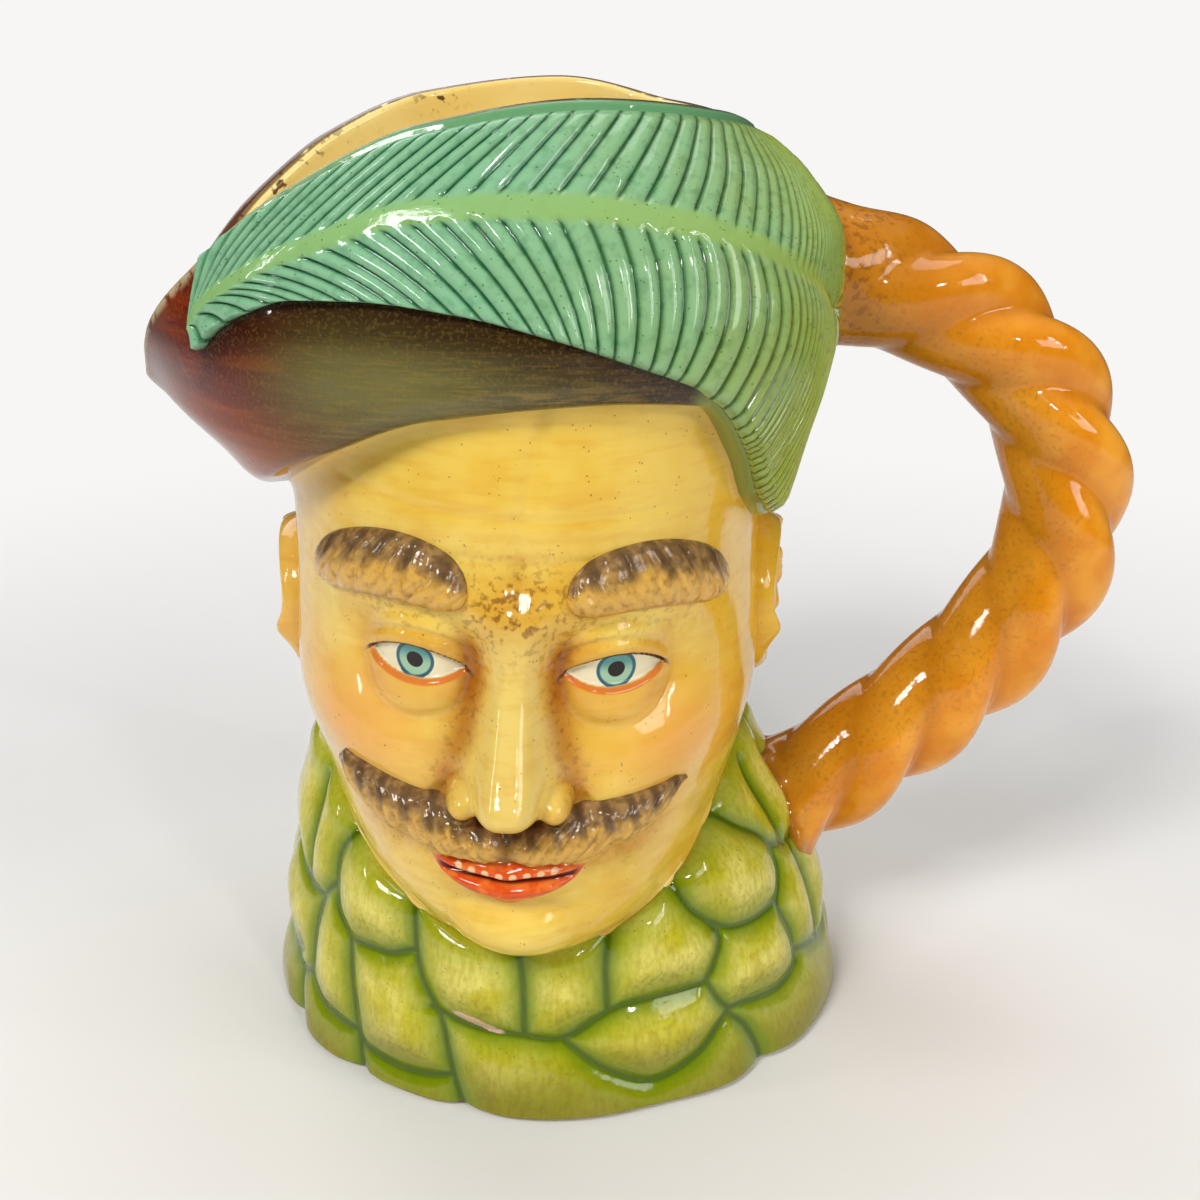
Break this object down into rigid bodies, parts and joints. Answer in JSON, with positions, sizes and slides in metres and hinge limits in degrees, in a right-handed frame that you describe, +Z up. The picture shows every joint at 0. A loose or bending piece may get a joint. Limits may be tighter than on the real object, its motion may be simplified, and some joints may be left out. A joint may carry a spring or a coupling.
{
  "type": "toby mug",
  "caption": "Glazed earthenware character jug: a moustached head in a feathered hat with a pulled spout, on a quilted collar, with a rope-shaped handle.",
  "frame": {"origin": "centre of the flat base, on the surface that the jug stands on", "axes": "+Z up; the face looks along -Y; the handle is towards +X and the spout towards -X"},
  "size_m": [0.1658, 0.1217, 0.1582],
  "materials": {
    "collar_glaze": "glossy yellow-green glaze, darker green in the seams",
    "flesh_glaze": "glossy warm flesh glaze over hand painting",
    "hat_glaze": "glossy brown-black glaze, cream inside",
    "feather_glaze": "glossy turquoise-green glaze, paler on the quill",
    "hair_glaze": "glossy stippled grey-brown glaze",
    "rope_glaze": "glossy amber-brown glaze, darker in the grooves"
  },
  "bodies": {
    "root": {"collar_base": "collar_glaze", "head": "flesh_glaze", "hat": "hat_glaze", "feather": "feather_glaze", "moustache": "hair_glaze", "eyebrow_left": "hair_glaze", "eyebrow_right": "hair_glaze", "ear_left": "flesh_glaze", "ear_right": "flesh_glaze", "rope_handle": "rope_glaze"}
  },
  "joints": []
}
